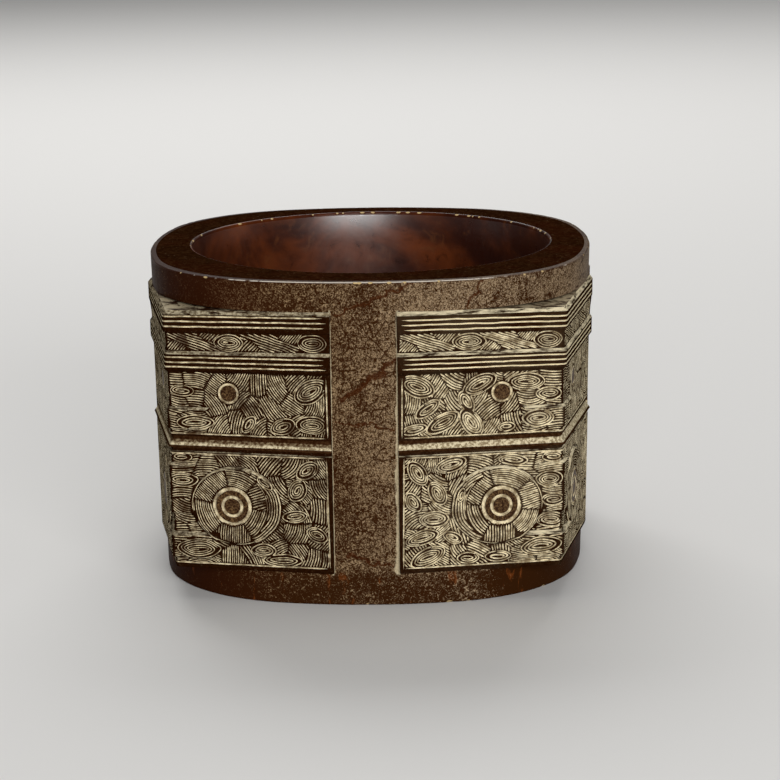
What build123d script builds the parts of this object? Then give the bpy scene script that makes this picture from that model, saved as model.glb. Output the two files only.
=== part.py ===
from build123d import *
import os
from math import cos, radians, sin, sqrt

# Jade cong: a squat square tube with a round bore, ground and drilled out of one stone.
# Four corner prisms stand proud of the tube, with plain channels between them. Each prism
# carries two mask registers under banded mouldings, the same on both of its faces.
# Pale residue fills the sawn lines and the drilled eye rings, as pieces of its own.
# Millimetres. +Z is up, -Y is the front, and the origin is at the middle of the base.

# Tube
height = 54.0
collar_top_width = 75.0
collar_bottom_width = 72.0
collar_corner_radius = 26.0
side_bow_radius = 70.0
bore_diameter = 60.8
bore_offset = 1.6  # the bore was drilled a little behind the centre
rim_chamfer = 0.5

# Corner prisms
prism_top_stand = 0.55  # how far a prism stands out from the tube, at the channel
prism_foot_stand = 0.95
channel_width = 10.8
face_lean = 11.0  # degrees that each face falls back from its channel to the corner edge

# Heights of the collars and mouldings, from the top down. The lower register takes the rest.
top_collar_height = 4.9
shoulder_height = 0.6
upper_band_height = 2.85
scroll_band_height = 3.3
scroll_bevel_height = 0.5
lower_band_height = 2.65
register_step_height = 0.6
upper_register_height = 10.7
divider_groove_height = 0.8
divider_strip_height = 1.1
divider_line_height = 0.7
bottom_edge_height = 0.55
bottom_collar_height = 5.45

# Depths of the mouldings behind the prism's face
shoulder_depth = 0.5
scroll_depth = 0.35
upper_register_depth = 0.45
divider_groove_depth = 0.8
divider_line_depth = 0.6
lower_register_depth = 0.35
bottom_edge_depth = 0.5

# Raised forms of the masks, with flanks at 45 degrees. Lengths run along the face from the corner.
upper_nose_length = 7.0
upper_nose_height = 4.0
upper_nose_rise = 0.4
lower_nose_length = 8.0
lower_nose_height = 4.7
lower_nose_rise = 0.55
bridge_length = 4.6
bridge_height = 8.8
bridge_drop = 2.0  # from the register's top to the bridge
lid_length = 15.3
lid_distance = 11.0  # from the corner edge to the middle of the eyelid
lid_top_margin = 2.3
lid_bottom_margin = 3.7
lid_rise = 0.4
nose_margin = 0.9  # from the register's foot to a nose

# Drilled eyes: radii of the rings and the groove's depth
small_eye_distance = 10.4
small_eye_drop = 3.3  # from the register's top to the eye
small_ring_outer = 1.75
small_ring_inner = 1.35
large_eye_distance = 10.4
large_outer_ring_outer = 3.3
large_outer_ring_inner = 2.65
large_inner_ring_outer = 1.85
large_inner_ring_inner = 1.3
ring_depth = 0.3
ring_sides = 20  # each ring is many-sided, which keeps the repeated eyes light

# Sawn lines
band_lines = 3
line_width = 0.4
line_depth = 0.25
band_line_end_gap = 0.8  # from a line's end to the channel
frame_inset = 0.6  # from a register's edge to its frame line at the channel
frame_margin = 0.2  # from a register's edge to its frame line at the top and foot

# Residue in the lines and rings
fill_clearance = 0.02
fill_sink = 0.05  # how far the residue lies below the surface round it

# How far a form runs past the surface that it is joined to, cut from or trimmed at
overlap = 0.3

# Heights worked out from the mouldings
prism_top = height - top_collar_height
upper_band_top = prism_top - shoulder_height
upper_band_foot = upper_band_top - upper_band_height
scroll_foot = upper_band_foot - scroll_band_height
lower_band_top = scroll_foot - scroll_bevel_height
lower_band_foot = lower_band_top - lower_band_height
upper_register_top = lower_band_foot - register_step_height
upper_register_foot = upper_register_top - upper_register_height
strip_top = upper_register_foot - divider_groove_height
strip_foot = strip_top - divider_strip_height
lower_register_top = strip_foot - divider_line_height
lower_register_foot = bottom_collar_height + bottom_edge_height
prism_foot = bottom_collar_height
lid_top = lower_register_top - lid_top_margin
lid_foot = lower_register_foot + lid_bottom_margin
lid_middle = (lid_top + lid_foot) / 2

def tube_width(level):
    """The tapered tube's width at a height."""
    return collar_bottom_width + (collar_top_width - collar_bottom_width) * level / height


# The front face of the front left prism, from which all eight faces are made. In its frame,
# x runs along the face from the corner edge to the channel, y runs up and z points out.
channel_half = channel_width / 2
lean = radians(face_lean)
prism_top_half = tube_width(prism_top) / 2 + prism_top_stand
prism_foot_half = tube_width(prism_foot) / 2 + prism_foot_stand
face_slope = (prism_top_half - prism_foot_half) / (prism_top - prism_foot)
face_half_at_base = prism_foot_half - face_slope * prism_foot
face_length = (face_half_at_base - channel_half) / (cos(lean) + sin(lean))
corner_at_base = channel_half + face_length * cos(lean)
face = Plane(
    origin=(-corner_at_base, -corner_at_base, 0),
    x_dir=(cos(lean), -sin(lean), 0),
    z_dir=(-sin(lean), -cos(lean), -face_slope * cos(lean)),
)
diagonal = Plane(origin=(0, 0, 0), x_dir=(0, 0, 1), z_dir=(1, -1, 0))
far = collar_top_width + collar_bottom_width  # well past the prisms, for forms that are trimmed later


def bowed_square(width, level):
    """A square plan with bowed sides and round corners, each arc tangent to the next."""
    half = width / 2
    side_centre = side_bow_radius - half
    arc_gap = side_bow_radius - collar_corner_radius
    corner_centre = (sqrt(2 * arc_gap**2 - side_centre**2) - side_centre) / 2
    join_across = corner_centre * side_bow_radius / arc_gap
    join_out = (corner_centre + side_centre) * side_bow_radius / arc_gap - side_centre
    corner_out = corner_centre + collar_corner_radius / sqrt(2)
    side = ThreePointArc((-join_across, -join_out), (0, -half), (join_across, -join_out))
    corner = ThreePointArc((join_across, -join_out), (corner_out, -corner_out), (join_out, -join_across))
    arcs = [Rot(0, 0, 90 * turn) * arc for turn in range(4) for arc in (side, corner)]
    return Pos(0, 0, level) * make_face(arcs)


def tube():
    """The tapered tube, solid, with its outer rims chamfered."""
    low = rim_chamfer
    high = height - rim_chamfer
    sections = [
        bowed_square(tube_width(0) - 2 * rim_chamfer, 0),
        bowed_square(tube_width(low), low),
        bowed_square(tube_width(high), high),
        bowed_square(tube_width(height) - 2 * rim_chamfer, height),
    ]
    return loft(sections, ruled=True)


def bore():
    """What is drilled out: a cylinder right through, with chamfered mouths."""
    radius = bore_diameter / 2
    outline = [
        (0, 0),
        (radius + rim_chamfer, 0),
        (radius, rim_chamfer),
        (radius, height - rim_chamfer),
        (radius + rim_chamfer, height),
        (0, height),
    ]
    return Pos(0, bore_offset, 0) * revolve(Plane.XZ * make_face(Polyline(*outline, close=True)), Axis.Z)


def half_sector():
    """The space of one face: from its channel to the diagonal plane through the corner edge."""
    corners = [(-channel_half, -channel_half), (-channel_half, -far), (-far, -far)]
    plan = Pos(0, 0, prism_foot) * make_face(Polyline(*corners, close=True))
    return extrude(plan, amount=prism_top - prism_foot)


def slab(x_low, x_high, y_low, y_high, z_low, z_high):
    """A box between the given limits in the face's frame."""
    middle = Pos((x_low + x_high) / 2, (y_low + y_high) / 2, (z_low + z_high) / 2)
    return face * middle * Box(x_high - x_low, y_high - y_low, z_high - z_low)


def moulding():
    """The prism's section, with its bands, registers and divider, run along the face."""
    outline = [
        (-far, prism_top + overlap),
        (-shoulder_depth, prism_top + overlap),
        (-shoulder_depth, prism_top),
        (0, upper_band_top),
        (0, upper_band_foot),
        (-scroll_depth, upper_band_foot),
        (-scroll_depth, scroll_foot),
        (0, lower_band_top),
        (0, lower_band_foot),
        (-upper_register_depth, upper_register_top),
        (-upper_register_depth, upper_register_foot),
        (-divider_groove_depth, upper_register_foot),
        (-divider_groove_depth, strip_top),
        (0, strip_foot),
        (-divider_line_depth, strip_foot),
        (-divider_line_depth, lower_register_top),
        (-lower_register_depth, lower_register_top),
        (-lower_register_depth, lower_register_foot),
        (-bottom_edge_depth, prism_foot),
        (-bottom_edge_depth, prism_foot - overlap),
        (-far, prism_foot - overlap),
    ]
    section = Plane(origin=face.origin, x_dir=face.z_dir, z_dir=-face.x_dir)
    return extrude(section * make_face(Polyline(*outline, close=True)), amount=far, both=True)


def raised_bar(x_low, x_high, y_low, y_high, level, rise):
    """A flat bar on a register, with flanks at 45 degrees on all sides."""
    wide = x_high - x_low
    tall = y_high - y_low
    middle = Pos((x_low + x_high) / 2, (y_low + y_high) / 2)
    foot = Pos(0, 0, level - overlap) * Rectangle(wide + 2 * overlap, tall + 2 * overlap)
    top = Pos(0, 0, level + rise) * Rectangle(wide - 2 * rise, tall - 2 * rise)
    return face * middle * loft([foot, top], ruled=True)


def eyelid(level):
    """The raised oval round a large eye, with the bridge that joins it to its twin at the corner."""
    long_half = lid_length / 2
    short_half = (lid_top - lid_foot) / 2
    middle = Pos(lid_distance, lid_middle)
    foot = Pos(0, 0, level - overlap) * Ellipse(long_half + overlap, short_half + overlap)
    top = Pos(0, 0, level + lid_rise) * Ellipse(long_half - lid_rise, short_half - lid_rise)
    lid = face * middle * loft([foot, top], ruled=True)
    bridge_top = lower_register_top - bridge_drop
    bridge = raised_bar(-bridge_length, bridge_length, bridge_top - bridge_height, bridge_top, level, lid_rise)
    return lid + bridge


def ring(x, y, outer, inner, z_low, z_high):
    """A flat ring on the face, between two heights over it."""
    plan = RegularPolygon(outer, ring_sides) - RegularPolygon(inner, ring_sides)
    return extrude(face * Pos(x, y, z_low) * plan, amount=z_high - z_low)


def ring_cut(x, y, outer, inner, level):
    return ring(x, y, outer, inner, level - ring_depth, level + overlap)


def ring_fill(x, y, outer, inner, level):
    return ring(x, y, outer - fill_clearance, inner + fill_clearance, level - ring_depth, level - fill_sink)


def line_cut(line, level):
    return slab(*line, level - line_depth, level + overlap)


def line_fill(line, level):
    x_low, x_high, y_low, y_high = line
    inside = (x_low, x_high - fill_clearance, y_low + fill_clearance, y_high - fill_clearance)
    return slab(*inside, level - line_depth, level - fill_sink)


def band_line_places(top, foot):
    """The band's lines, evenly spaced, from beyond the corner edge to just short of the channel."""
    pitch = (top - foot) / band_lines
    end = face_length - band_line_end_gap
    middles = [foot + pitch * (place + 0.5) for place in range(band_lines)]
    return [(-face_length, end, middle - line_width / 2, middle + line_width / 2) for middle in middles]


def frame_line_places(top, foot, has_top_line):
    """A register's frame line: along its foot, up beside the channel, and back along its top."""
    end = face_length - frame_inset
    low = foot + frame_margin
    high = top - frame_margin
    lines = [(-face_length, end, low, low + line_width), (end - line_width, end, low, high)]
    if has_top_line:
        lines.append((-face_length, end, high - line_width, high))
    return lines


def both_faces(half):
    """A form on one face, joined to its twin on the prism's other face."""
    return half + mirror(half, about=diagonal)


# Levels of the surfaces that the lines and rings are cut into
upper_register = -upper_register_depth
lower_register = -lower_register_depth
lid_surface = lower_register + lid_rise
upper_nose_foot = upper_register_foot + nose_margin
lower_nose_foot = lower_register_foot + nose_margin

upper_band_lines = band_line_places(upper_band_top, upper_band_foot)
lower_band_lines = band_line_places(lower_band_top, lower_band_foot)
upper_frame_lines = frame_line_places(upper_register_top, upper_register_foot, has_top_line=False)
lower_frame_lines = frame_line_places(lower_register_top, lower_register_foot, has_top_line=True)
small_rings = [
    (small_eye_distance, upper_register_top - small_eye_drop, small_ring_outer, small_ring_inner),
]
large_rings = [
    (large_eye_distance, lid_middle, large_outer_ring_outer, large_outer_ring_inner),
    (large_eye_distance, lid_middle, large_inner_ring_outer, large_inner_ring_inner),
]

# What is cut at each place: the lines or rings, and the level of the surface there
line_groups = {
    "upper_band_fill": (upper_band_lines, 0),
    "lower_band_fill": (lower_band_lines, 0),
    "upper_frame_fill": (upper_frame_lines, upper_register),
    "lower_frame_fill": (lower_frame_lines, lower_register),
}
ring_groups = {
    "small_eye_fill": (small_rings, upper_register),
    "large_eye_fill": (large_rings, lid_surface),
}


def corner_prism():
    """One corner prism: mouldings, noses, eyelids and bridge, with its lines and rings cut in."""
    half = moulding()
    half += raised_bar(
        -upper_nose_length, upper_nose_length, upper_nose_foot, upper_nose_foot + upper_nose_height,
        upper_register, upper_nose_rise,
    )
    half += raised_bar(
        -lower_nose_length, lower_nose_length, lower_nose_foot, lower_nose_foot + lower_nose_height,
        lower_register, lower_nose_rise,
    )
    half += eyelid(lower_register)
    for lines, level in line_groups.values():
        half -= [line_cut(line, level) for line in lines]
    for rings, level in ring_groups.values():
        half -= [ring_cut(*place, level) for place in rings]
    return both_faces(half & half_sector())


def residue():
    """The residue of the front left corner: for each node, its separate solids."""
    sector = half_sector()
    pieces = {}
    for name, (lines, level) in line_groups.items():
        half = Part() + [line_fill(line, level) for line in lines]
        pieces[name] = both_faces(half & sector)
    for name, (rings, level) in ring_groups.items():
        half = Part() + [ring_fill(*place, level) for place in rings]
        pieces[name] = both_faces(half)
    return pieces


def stone():
    """The whole carved stone, bored through last."""
    turns = [Rot(0, 0, 90 * turn) for turn in range(4)]
    room = both_faces(half_sector())
    prism = corner_prism()
    return tube() - [turn * room for turn in turns] + [turn * prism for turn in turns] - bore()


nodes = {"cong_stone": stone()}
corner_names = ["front_left", "front_right", "back_right", "back_left"]
for name, pieces in residue().items():
    for turn, corner_name in enumerate(corner_names):
        nodes[f"{name}_{corner_name}"] = Compound((Rot(0, 0, 90 * turn) * pieces).solids())

os.makedirs("parts", exist_ok=True)
for name, shape in nodes.items():
    export_step(shape, f"parts/{name}.step")
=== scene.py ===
import random
from math import asin, ceil, cos, pi, radians, sin, sqrt, tan

import bmesh
import bpy
import numpy as np
from mathutils import Matrix, Vector, noise
from mathutils.geometry import delaunay_2d_cdt
from mathutils.kdtree import KDTree


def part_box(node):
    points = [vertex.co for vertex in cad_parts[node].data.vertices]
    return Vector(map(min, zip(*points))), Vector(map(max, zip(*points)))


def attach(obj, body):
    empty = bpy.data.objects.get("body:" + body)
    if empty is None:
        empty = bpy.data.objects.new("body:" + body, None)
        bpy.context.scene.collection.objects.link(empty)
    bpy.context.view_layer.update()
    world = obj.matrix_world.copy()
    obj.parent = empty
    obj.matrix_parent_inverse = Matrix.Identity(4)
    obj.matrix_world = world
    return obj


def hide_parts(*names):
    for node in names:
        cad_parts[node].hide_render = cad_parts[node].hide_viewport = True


# The looks of the jade cong: the polished, weathered tube and its four finely carved corner prisms.
# Lengths are in millimetres until a mesh is made. +Z is up and -Y is the photographed front.
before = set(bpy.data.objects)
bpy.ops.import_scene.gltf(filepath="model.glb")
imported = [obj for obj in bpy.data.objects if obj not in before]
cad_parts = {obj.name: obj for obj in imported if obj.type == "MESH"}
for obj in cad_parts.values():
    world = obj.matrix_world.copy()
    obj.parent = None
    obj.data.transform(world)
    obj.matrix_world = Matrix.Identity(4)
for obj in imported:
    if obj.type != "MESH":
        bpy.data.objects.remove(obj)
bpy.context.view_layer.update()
stone_low, stone_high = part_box("cong_stone")
mm = 0.001
height = (stone_high.z - stone_low.z) / mm

# Tube
collar_top_width = 75.0
collar_bottom_width = 72.0
collar_corner_radius = 26.0
side_bow_radius = 70.0
bore_radius = 30.4
bore_offset = 1.6
mouth_flare = 0.35
mouth_depth = 5.0
rim_round = 0.3
rim_step = 0.25  # between the rings of points next to a rounded rim
chip_half_width = 0.3
chip_depth = 0.12

# Corner prisms and the heights and depths of their mouldings
prism_top_stand = 0.55
prism_foot_stand = 0.95
channel_half = 5.4
lean = radians(11.0)
prism_foot = 5.45
lower_register_foot = 6.0
lower_register_top = 25.3
strip_foot = 26.0
strip_top = 27.1
upper_register_foot = 27.9
upper_register_top = 38.6
lower_band_foot = 39.2
lower_band_top = 41.85
scroll_foot = 42.35
upper_band_foot = 45.65
upper_band_top = 48.5
prism_top = 49.1
shoulder_depth = 0.5
scroll_depth = 0.35
upper_register_depth = 0.45
divider_groove_depth = 0.8
divider_line_depth = 0.6
lower_register_depth = 0.35
bottom_edge_depth = 0.5
worn_step = 0.12  # height of the slope that wear has left at each step between mouldings

# Masks
small_eye = (10.4, 35.3)
small_ring = (1.75, 1.35)
large_eye = (10.4, 16.35)
large_rings = [(3.3, 2.7), (1.85, 1.35)]
ring_depth = 0.2
ring_wall = 0.12
ring_sides = 64
lid_middle = (11.0, 16.35)
lid_half = (7.65, 6.65)
lid_rise = 0.4
lid_sides = 96
rim_line = 0.965  # the line round an eyelid, as a share of its size
hatch_reach = 5.95  # a thin circle round the large eye, where its hatching ends

# Cut lines
pitch = 0.38
thin_half_width = 0.08
broad_half_width = 0.11
fine_depth = 0.085
band_pitch = 0.82
band_half_width = 0.125
band_depth = 0.11
frame_half_width = 0.12
frame_inset = 0.6
frame_margin = 0.25
long_wall = 0.09  # width of the sloping walls in the bands' and frames' lines
path_step = 0.12
middle_step = 0.06
least_steps = 5  # a shorter stretch isn't cut
scroll_point = 1.18  # 1 leaves the scrolls oval, and more makes their ends pointed
shake = 0.16
shake_rate = 0.45
noise.seed_set(2)  # the lines are shaken in the same way each run

# Numbers of the materials, on the prisms and on the tube
on_ridge, in_line, on_ledge, on_eye, in_band_line = range(5)
on_skin, on_edge, on_rim, in_bore, in_mouth = range(5)


def tube_width(level):
    """The tapered tube's width at a height."""
    return collar_bottom_width + (collar_top_width - collar_bottom_width) * level / height


# The front face of the front left prism. Along it, p runs from the corner edge to the channel,
# y runs up the face and n stands out from it.
prism_top_half = tube_width(prism_top) / 2 + prism_top_stand
prism_foot_half = tube_width(prism_foot) / 2 + prism_foot_stand
face_slope = (prism_top_half - prism_foot_half) / (prism_top - prism_foot)
face_half_at_base = prism_foot_half - face_slope * prism_foot
face_length = (face_half_at_base - channel_half) / (cos(lean) + sin(lean))
corner_at_base = channel_half + face_length * cos(lean)
face_origin = np.array([-corner_at_base, -corner_at_base, 0])
face_along = np.array([cos(lean), -sin(lean), 0])
face_out = np.array([-sin(lean), -cos(lean), -face_slope * cos(lean)])
face_out /= np.linalg.norm(face_out)
face_up = np.cross(face_out, face_along)
mitre = (cos(lean) - sin(lean)) / (cos(lean) + sin(lean))
face_tilt = face_slope * cos(lean)


def face_width(y):
    """The distance along the face from the corner edge to the channel, at a height."""
    return face_length + y * face_tilt * (mitre + tan(lean))


# Relief of a face
moulding = [
    (prism_foot, -bottom_edge_depth),
    (lower_register_foot, -lower_register_depth),
    (lower_register_top - worn_step, -lower_register_depth),
    (lower_register_top, -divider_line_depth),
    (strip_foot - worn_step, -divider_line_depth),
    (strip_foot, 0),
    (strip_top, -divider_groove_depth),
    (upper_register_foot - worn_step, -divider_groove_depth),
    (upper_register_foot, -upper_register_depth),
    (upper_register_top, -upper_register_depth),
    (lower_band_foot, 0),
    (lower_band_top, 0),
    (scroll_foot, -scroll_depth),
    (upper_band_foot - worn_step, -scroll_depth),
    (upper_band_foot, 0),
    (upper_band_top, 0),
    (prism_top, -shoulder_depth),
]
moulding_heights = [y for y, n in moulding]
moulding_levels = [n for y, n in moulding]

# Raised bars at the corner edge: length, foot, top, level of the ground and rise
noses = [
    (7.0, 28.8, 32.8, -upper_register_depth, 0.4),
    (8.0, 6.9, 11.6, -lower_register_depth, 0.55),
]
bridge = (4.6, 14.5, 23.3, -lower_register_depth, lid_rise)
bars = [*noses, bridge]
edge_wear = 0.12
edge_wear_reach = 0.45
trim_reach = 2.0  # the trim at a face's two ends fades out over this length

# The bands were sawn by eye, and dip a little towards the corner edge
dip_heights = [strip_top, lower_band_foot, upper_band_foot, upper_band_top, prism_top]
dips = [0, 0.25, 0.45, 0.4, 0.4]


def lid_radius(p, y):
    """1 on the eyelid's outline, less inside it."""
    return np.hypot((p - lid_middle[0]) / lid_half[0], (y - lid_middle[1]) / lid_half[1])


def relief(p, y):
    """How far the face's surface stands out at a place, before any line is cut."""
    n = np.interp(y, moulding_heights, moulding_levels)
    for length, foot, top, ground, rise in bars:
        inside = np.minimum(length - p, np.minimum(y - foot, top - y))
        n = np.where(inside > 0, np.maximum(n, ground + np.clip(inside, 0, rise)), n)
    inside = (1 - lid_radius(p, y)) * lid_half[1]
    n = np.where(inside > 0, np.maximum(n, -lower_register_depth + np.clip(inside, 0, lid_rise)), n)
    from_channel = face_width(y) - p
    wear = np.clip(1 - p / edge_wear_reach, 0, 1) + np.clip(1 - from_channel / edge_wear_reach, 0, 1)
    return n - edge_wear * wear


def face_points(p, y, n):
    """Points of the face in space, trimmed at the corner's diagonal plane and at the channel."""
    width = face_width(y)
    level = y - np.interp(y, dip_heights, dips) * (1 - p / width)
    near_corner = np.clip(1 - p / trim_reach, 0, 1)
    near_channel = np.clip(1 - (width - p) / trim_reach, 0, 1)
    along = p - mitre * face_tilt * level - mitre * n * near_corner + tan(lean) * n * near_channel
    return face_origin + np.outer(along, face_along) + np.outer(level, face_up) + np.outer(n, face_out)


def oval(middle, halves, angles):
    """Points of an oval on the face."""
    p = middle[0] + halves[0] * np.cos(angles)
    y = middle[1] + halves[1] * np.sin(angles)
    return np.stack([p, y], axis=1)


def lid_oval(share, angles):
    """Points of an oval parallel to the eyelid's outline."""
    return oval(lid_middle, (share * lid_half[0], share * lid_half[1]), angles)


class Carving:
    """The lines of one face, gathered for its triangulation."""

    def __init__(self):
        self.points = []
        self.drops = []  # how deep each point is cut
        self.edges = []  # pairs of points that stay joined
        self.middles = []  # close places along the cut lines: p, y, half width, width of a wall, and depth

    def add_points(self, points, drop):
        first = len(self.points)
        self.points += [Vector(point) for point in points]
        self.drops += [drop] * len(points)
        return list(range(first, len(self.points)))

    def crease(self, points, closed=False):
        """A line where the relief changes slope."""
        chain = self.add_points(points, 0)
        if closed:
            chain.append(chain[0])
        self.edges += zip(chain, chain[1:])

    def groove(self, path, half_width, depth, wall, from_edge=False):
        """A cut line with pointed ends. One from the corner edge is open there, to meet its twin."""
        path = np.asarray(path)
        along = np.gradient(path, axis=0)
        along /= np.linalg.norm(along, axis=1)[:, None]
        if from_edge:
            along[0] = (1, 0)
        across = np.stack([-along[:, 1], along[:, 0]], axis=1)
        floor = half_width - wall
        offsets = [half_width, floor, -floor, -half_width] if floor > 0 else [half_width, 0, -half_width]
        body = slice(0 if from_edge else 1, -1)
        rails = []
        for offset in offsets:
            drop = 0 if abs(offset) == half_width else depth
            rails.append(self.add_points(path[body] + offset * across[body], drop))
        end = self.add_points(path[-1:], 0)
        start = [] if from_edge else self.add_points(path[:1], 0)
        for rail in rails:
            chain = start + rail + end
            self.edges += zip(chain, chain[1:])
        widths = np.full(len(path), half_width)
        widths[-1] = 0
        if not from_edge:
            widths[0] = 0
        self.add_middles(path, widths, wall, depth)

    def fine_groove(self, path, half_width):
        """A fine line, V-shaped in section."""
        self.groove(path, half_width, fine_depth, half_width)

    def ring(self, middle, outer, inner):
        """A drilled ring with sloping walls and a flat floor."""
        angles = np.linspace(0, 2 * pi, ring_sides, endpoint=False)
        rails = [(outer, 0), (outer - ring_wall, ring_depth), (inner + ring_wall, ring_depth), (inner, 0)]
        for radius, drop in rails:
            rail = self.add_points(oval(middle, (radius, radius), angles), drop)
            self.edges += zip(rail, rail[1:] + rail[:1])
        radius = (outer + inner) / 2
        path = oval(middle, (radius, radius), np.append(angles, 0))
        self.add_middles(path, np.full(len(path), (outer - inner) / 2), ring_wall, ring_depth)

    def add_middles(self, path, widths, wall, depth):
        """Close places along the middle of a cut line, with its half width at each."""
        lengths = np.concatenate([[0], np.cumsum(np.linalg.norm(np.diff(path, axis=0), axis=1))])
        steps = np.linspace(0, lengths[-1], ceil(lengths[-1] / middle_step) + 1)
        columns = [np.interp(steps, lengths, values) for values in (path[:, 0], path[:, 1], widths)]
        self.middles += [(*place, wall, depth) for place in zip(*columns)]

    def drop_at(self, tree, p, y):
        """How deep the surface is cut at a place, from the nearest line's section."""
        place, index, distance = tree.find((p, y, 0))
        half_width, wall, depth = self.middles[index][2:]
        return depth * min(max((half_width - distance) / wall, 0), 1)

    def triangulate(self):
        """Places, cut depths, triangles, and which triangles lie in a cut line."""
        tree = KDTree(len(self.middles))
        for index, middle in enumerate(self.middles):
            tree.insert((middle[0], middle[1], 0), index)
        tree.balance()
        places, edges, triangles, from_points, from_edges, from_faces = delaunay_2d_cdt(
            self.points, self.edges, [], 0, 1e-6, True
        )
        drops = []
        for place, sources in zip(places, from_points):
            drop = max(self.drops[source] for source in sources) if sources else self.drop_at(tree, *place)
            drops.append(drop)
        places = np.array(places)
        middles = places[np.array(triangles)].mean(axis=1)
        filled = np.array([self.drop_at(tree, *middle) > 0 for middle in middles])
        return places, np.array(drops), triangles, middles, filled


class Field:
    """A stretch of the face that is filled with scrolls and, between them, patches of hatching."""

    def __init__(self, p_range, y_range, scrolls, patches, sectors=(), plain=()):
        self.low, self.high = zip(p_range, y_range)
        self.scrolls = scrolls
        self.patches = patches
        self.sectors = sectors
        self.plain = plain

    def owner(self, points):
        """The number of the motif that each point belongs to, or -1 where the stone is left plain."""
        p, y = points.T
        reach = np.stack([patch_reach(p, y, *patch) for patch in self.patches])
        owner = len(self.scrolls) + np.argmin(reach, axis=0)
        if self.sectors:
            owner = self.eye_owner(p, y, owner)
        radii = np.stack([scroll_radius(p, y, *scroll) for scroll in self.scrolls])
        owner = np.where(radii.min(axis=0) < 1, np.argmin(radii, axis=0), owner)
        for middle_p, middle_y, radius in self.plain:
            owner = np.where(np.hypot(p - middle_p, y - middle_y) < radius, -1, owner)
        for length, foot, top, ground, rise in noses:
            owner = np.where((p < length) & (y < top) & (y > top - rise), -1, owner)
        inside = ((points >= self.low) & (points <= self.high)).all(axis=1)
        return np.where(inside, owner, -1)

    def eye_owner(self, p, y, owner):
        """The owners once the eyelid is laid out: sectors round the eye, then lines along the lid."""
        rim_gap = 0.025
        lid_end = 0.985
        clear = 0.14
        first = len(self.scrolls) + len(self.patches)
        along, across = p - large_eye[0], y - large_eye[1]
        distance = np.hypot(along, across)
        angle = np.degrees(np.arctan2(across, along)) % 360
        starts = [start for start, radial in self.sectors]
        sector = (np.searchsorted(starts, angle, side="right") - 1) % len(self.sectors)
        on_lid = lid_radius(p, y)
        to_channel = along > 0.5 * distance  # within 60 degrees of the way to the channel
        hatched = (on_lid < rim_line - rim_gap) & ((distance < hatch_reach - clear) | ~to_channel)
        on_corner = to_channel & (on_lid < lid_end) & (distance > hatch_reach + clear)
        owner = np.where(on_lid < 1, -1, owner)
        owner = np.where(hatched, first + sector, owner)
        return np.where(on_corner, first + len(self.sectors), owner)

    def paths(self, chance):
        """Every line of the field, clipped to its own motif."""
        candidates = []
        for number, scroll in enumerate(self.scrolls):
            candidates += [(number, path) for path in scroll_paths(*scroll, chance)]
        patches = self.patches + [sector_patch(self.sectors, place) for place in range(len(self.sectors))]
        for number, patch in enumerate(patches, len(self.scrolls)):
            candidates += [(number, path) for path in hatching(*patch, chance)]
        if self.sectors:
            candidates += [(len(self.scrolls) + len(patches), path) for path in lid_lines()]
        points = np.concatenate([path for number, path in candidates])
        owners = np.split(self.owner(points), np.cumsum([len(path) for number, path in candidates])[:-1])
        runs = []
        for (number, path), owner in zip(candidates, owners):
            runs += stretches(path, owner == number)
        return runs


def stretches(path, kept):
    """The kept stretches of a path."""
    breaks = np.flatnonzero(np.diff(np.concatenate([[0], kept.astype(int), [0]])))
    whole = [path[first:last] for first, last in zip(breaks[::2], breaks[1::2])]
    return [stretch for stretch in whole if len(stretch) >= least_steps]


def seen_from(middle_p, middle_y, degrees, p, y):
    """How far places lie from a middle, along a direction and across it."""
    turn = radians(degrees)
    along = (p - middle_p) * cos(turn) + (y - middle_y) * sin(turn)
    across = (y - middle_y) * cos(turn) - (p - middle_p) * sin(turn)
    return along, across


def laid_from(middle_p, middle_y, degrees, along, across):
    """Places on the face, given along a direction and across it from a middle."""
    turn = radians(degrees)
    p = middle_p + along * cos(turn) - across * sin(turn)
    y = middle_y + along * sin(turn) + across * cos(turn)
    return np.stack([p, y], axis=1)


def scroll_radius(p, y, middle_p, middle_y, long_half, short_half, tilt):
    """1 on a scroll's outline, a slightly pointed oval, and less inside it."""
    along, across = seen_from(middle_p, middle_y, tilt, p, y)
    return np.hypot(along / long_half, np.abs(across / short_half) ** (1 / scroll_point))


def scroll_paths(middle_p, middle_y, long_half, short_half, tilt, chance):
    """A scroll: its outline, and a spiral wound in from it, a little closer across than along."""
    spacing = pitch * chance.uniform(0.87, 1.0)
    outline_gap = 0.08
    core = 0.08
    first_gap = 0.65  # from the outline to the start of the spiral, in spacings
    mean_size = 0.6  # how much of the outline's length a turn has on average
    long_share = 0.45  # how far the turns follow the scroll's own proportions
    turns = (short_half - outline_gap - core) / spacing - first_gap
    start = chance.uniform(0, 2 * pi)
    count = int((turns + 1) * pi * (long_half + short_half) * mean_size / path_step)
    paths = []
    for first_inset, rounds in ((0, 0), (first_gap * spacing, turns)):
        angles = start + np.linspace(0, 2 * pi * max(rounds, 1), count)
        inset = outline_gap + first_inset + np.linspace(0, rounds * spacing, count)
        long_inset = inset * (1 + long_share * (long_half / short_half - 1))
        rise = np.sin(angles)
        along = (long_half - long_inset) * np.cos(angles)
        across = (short_half - inset) * np.sign(rise) * np.abs(rise) ** scroll_point
        paths.append(laid_from(middle_p, middle_y, tilt, along, across))
    return paths


def patch_reach(p, y, middle_p, middle_y, direction, bend, stretch):
    """How far a place is from the middle of a patch, counting less along its lines than across them."""
    along, across = seen_from(middle_p, middle_y, direction, p, y)
    return np.hypot(along / stretch, across)


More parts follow.
